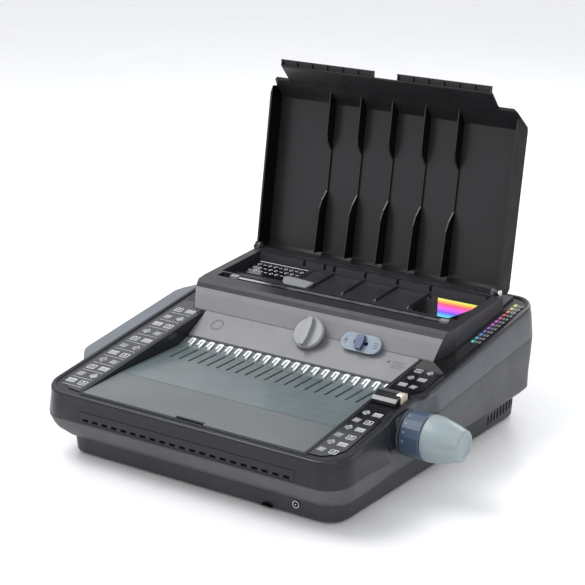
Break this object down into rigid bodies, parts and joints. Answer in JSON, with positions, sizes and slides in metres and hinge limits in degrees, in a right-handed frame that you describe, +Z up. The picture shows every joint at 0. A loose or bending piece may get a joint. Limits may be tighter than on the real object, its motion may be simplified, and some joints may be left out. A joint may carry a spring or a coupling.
{
  "type": "comb binding machine",
  "caption": "Desktop comb punch and binding machine: sloped housing with comb opener and side knob, raised tray with wire closer, and a hinged storage lid",
  "frame": {"origin": "Centre of the machine's footprint at table level, with the lid open.", "axes": "+X to the operator's right, towards the knob; +Y from the front edge to the back; +Z up."},
  "size_m": [0.522, 0.4662, 0.4204],
  "materials": {
    "charcoal": "fine-textured charcoal housing plastic",
    "dark_grey": "dark grey textured plastic",
    "blue_grey": "blue-grey satin plastic",
    "cover_grey": "dark warm-grey plastic",
    "warm_grey": "light warm-grey plastic",
    "flap_grey": "mid grey plastic",
    "deck_green": "green-grey painted plate",
    "light_grey": "light grey plastic",
    "light_blue": "pale blue-grey plastic",
    "deep_blue": "deep blue plastic",
    "ring_blue": "mid blue plastic",
    "pale_green": "pale green-grey plastic",
    "lid_black": "satin black plastic",
    "gloss_black": "glossy black film",
    "black_plastic": "black plastic",
    "cream": "cream translucent lens",
    "rubber": "black rubber",
    "steel": "bright steel",
    "zinc": "zinc-plated steel",
    "brass": "brass",
    "board_green": "green circuit board"
  },
  "bodies": {
    "housing": {"base_pan": "dark_grey", "foot_front_left": "rubber", "foot_front_right": "rubber", "foot_rear_left": "rubber", "foot_rear_right": "rubber", "lower_housing": "dark_grey", "upper_housing": "charcoal", "shoulder_cover": "blue_grey", "front_slot_panel": "charcoal", "left_guide_strip": "gloss_black", "right_guide_strip": "gloss_black", "right_colour_strip": "gloss_black", "flap_bin": "dark_grey", "comb_deck": "deck_green", "console_panel": "warm_grey", "selector_plate": "light_blue", "top_cover": "cover_grey", "tray_rear_ledge": "cover_grey", "size_chart": "gloss_black", "capacity_chart": "gloss_black", "lid_hinge_pin_left": "steel", "lid_hinge_pin_right": "steel", "knob_backplate": "dark_grey", "side_frame_left": "zinc", "side_frame_right": "zinc", "die_plate": "steel", "pin_guide": "steel", "paper_chute": "zinc", "motor_case": "zinc", "motor_bracket": "zinc", "circuit_board": "board_green", "transformer": "steel", "mains_inlet": "black_plastic", "switch_frame": "black_plastic", "front_socket": "steel", "drive_belt": "rubber"},
    "lid": {"storage_lid": "lid_black"},
    "flap": {"deck_flap": "flap_grey"},
    "hooks": {"hook_carrier": "steel"},
    "knob": {"drive_knob": "pale_green", "drive_shaft": "steel", "rack_pinion_left": "brass", "rack_pinion_right": "brass"},
    "size_selector": {"size_ring": "ring_blue"},
    "dial": {"margin_dial": "light_grey"},
    "thumb": {"selector_thumb": "deep_blue"},
    "gauge": {"gauge_slider": "light_grey"},
    "closer": {"wire_closer_bar": "steel", "closer_end_left": "light_grey", "closer_end_right": "light_grey"},
    "cam": {"cam_shaft": "steel", "cam_pulley": "black_plastic"},
    "punch": {"punch_beam": "zinc"},
    "motor": {"motor_shaft": "steel"},
    "drawer": {"chip_drawer": "dark_grey"},
    "key": {"punch_key": "gloss_black", "key_lens": "cream"},
    "switch": {"power_rocker": "black_plastic"}
  },
  "joints": [
    {"name": "lid_hinge", "type": "hinge", "parent": "housing", "child": "lid", "pos_m": [-0.018, 0.17293, 0.1687], "axis": [1, 0, 0], "range_deg": [0, 102]},
    {"name": "flap_hinge", "type": "hinge", "parent": "housing", "child": "flap", "pos_m": [-0.018, -0.15007, 0.0935], "axis": [-1, 0, 0], "range_deg": [0, 75]},
    {"name": "knob_turn", "type": "hinge", "parent": "housing", "child": "knob", "pos_m": [-0.018, -0.08407, 0.078], "axis": [1, 0, 0], "range_deg": [0, 126]},
    {"name": "hook_slide", "type": "slide", "parent": "housing", "child": "hooks", "axis": [0, -1, 0], "range_m": [0, 0.022]},
    {"name": "closer_slide", "type": "slide", "parent": "housing", "child": "closer", "axis": [0, -1, 0], "range_m": [0, 0.005]},
    {"name": "size_ring_turn", "type": "hinge", "parent": "housing", "child": "size_selector", "pos_m": [-0.018, -0.08407, 0.078], "axis": [1, 0, 0], "range_deg": [0, 150]},
    {"name": "dial_turn", "type": "hinge", "parent": "housing", "child": "dial", "pos_m": [-0.01, 0.01768, 0.12232], "axis": [0, -0.766, 0.6428], "range_deg": [-60, 60]},
    {"name": "thumb_slide", "type": "slide", "parent": "housing", "child": "thumb", "axis": [1, 0, 0], "range_m": [-0.0055, 0.0055]},
    {"name": "gauge_slide", "type": "slide", "parent": "housing", "child": "gauge", "axis": [1, 0, 0], "range_m": [0, 0.12]},
    {"name": "cam_turn", "type": "hinge", "parent": "housing", "child": "cam", "pos_m": [-0.018, 0.04593, 0.12], "axis": [-1, 0, 0], "range_deg": [0, 180]},
    {"name": "punch_stroke", "type": "slide", "parent": "housing", "child": "punch", "axis": [0, 0, -1], "range_m": [0, 0.012]},
    {"name": "motor_turn", "type": "hinge", "parent": "housing", "child": "motor", "pos_m": [-0.018, 0.12093, 0.12], "axis": [-1, 0, 0], "range_deg": [0, 360]},
    {"name": "drawer_slide", "type": "slide", "parent": "housing", "child": "drawer", "axis": [-1, 0, 0], "range_m": [0, 0.14]},
    {"name": "key_press", "type": "slide", "parent": "housing", "child": "key", "axis": [0, 0, -1], "range_m": [0, 0.003], "stiffness_N_per_m": 400},
    {"name": "switch_rock", "type": "hinge", "parent": "housing", "child": "switch", "pos_m": [-0.101, 0.22243, 0.083], "axis": [0, 0, 1], "range_deg": [-7, 7]}
  ],
  "couplings": [
    {"joint": "hook_slide", "follows": "knob_turn", "m_per_rad": 0.01},
    {"joint": "closer_slide", "follows": "knob_turn", "m_per_rad": 0.00225},
    {"joint": "punch_stroke", "follows": "cam_turn", "m_per_rad": 0.0038},
    {"joint": "motor_turn", "follows": "cam_turn", "ratio": 2}
  ]
}
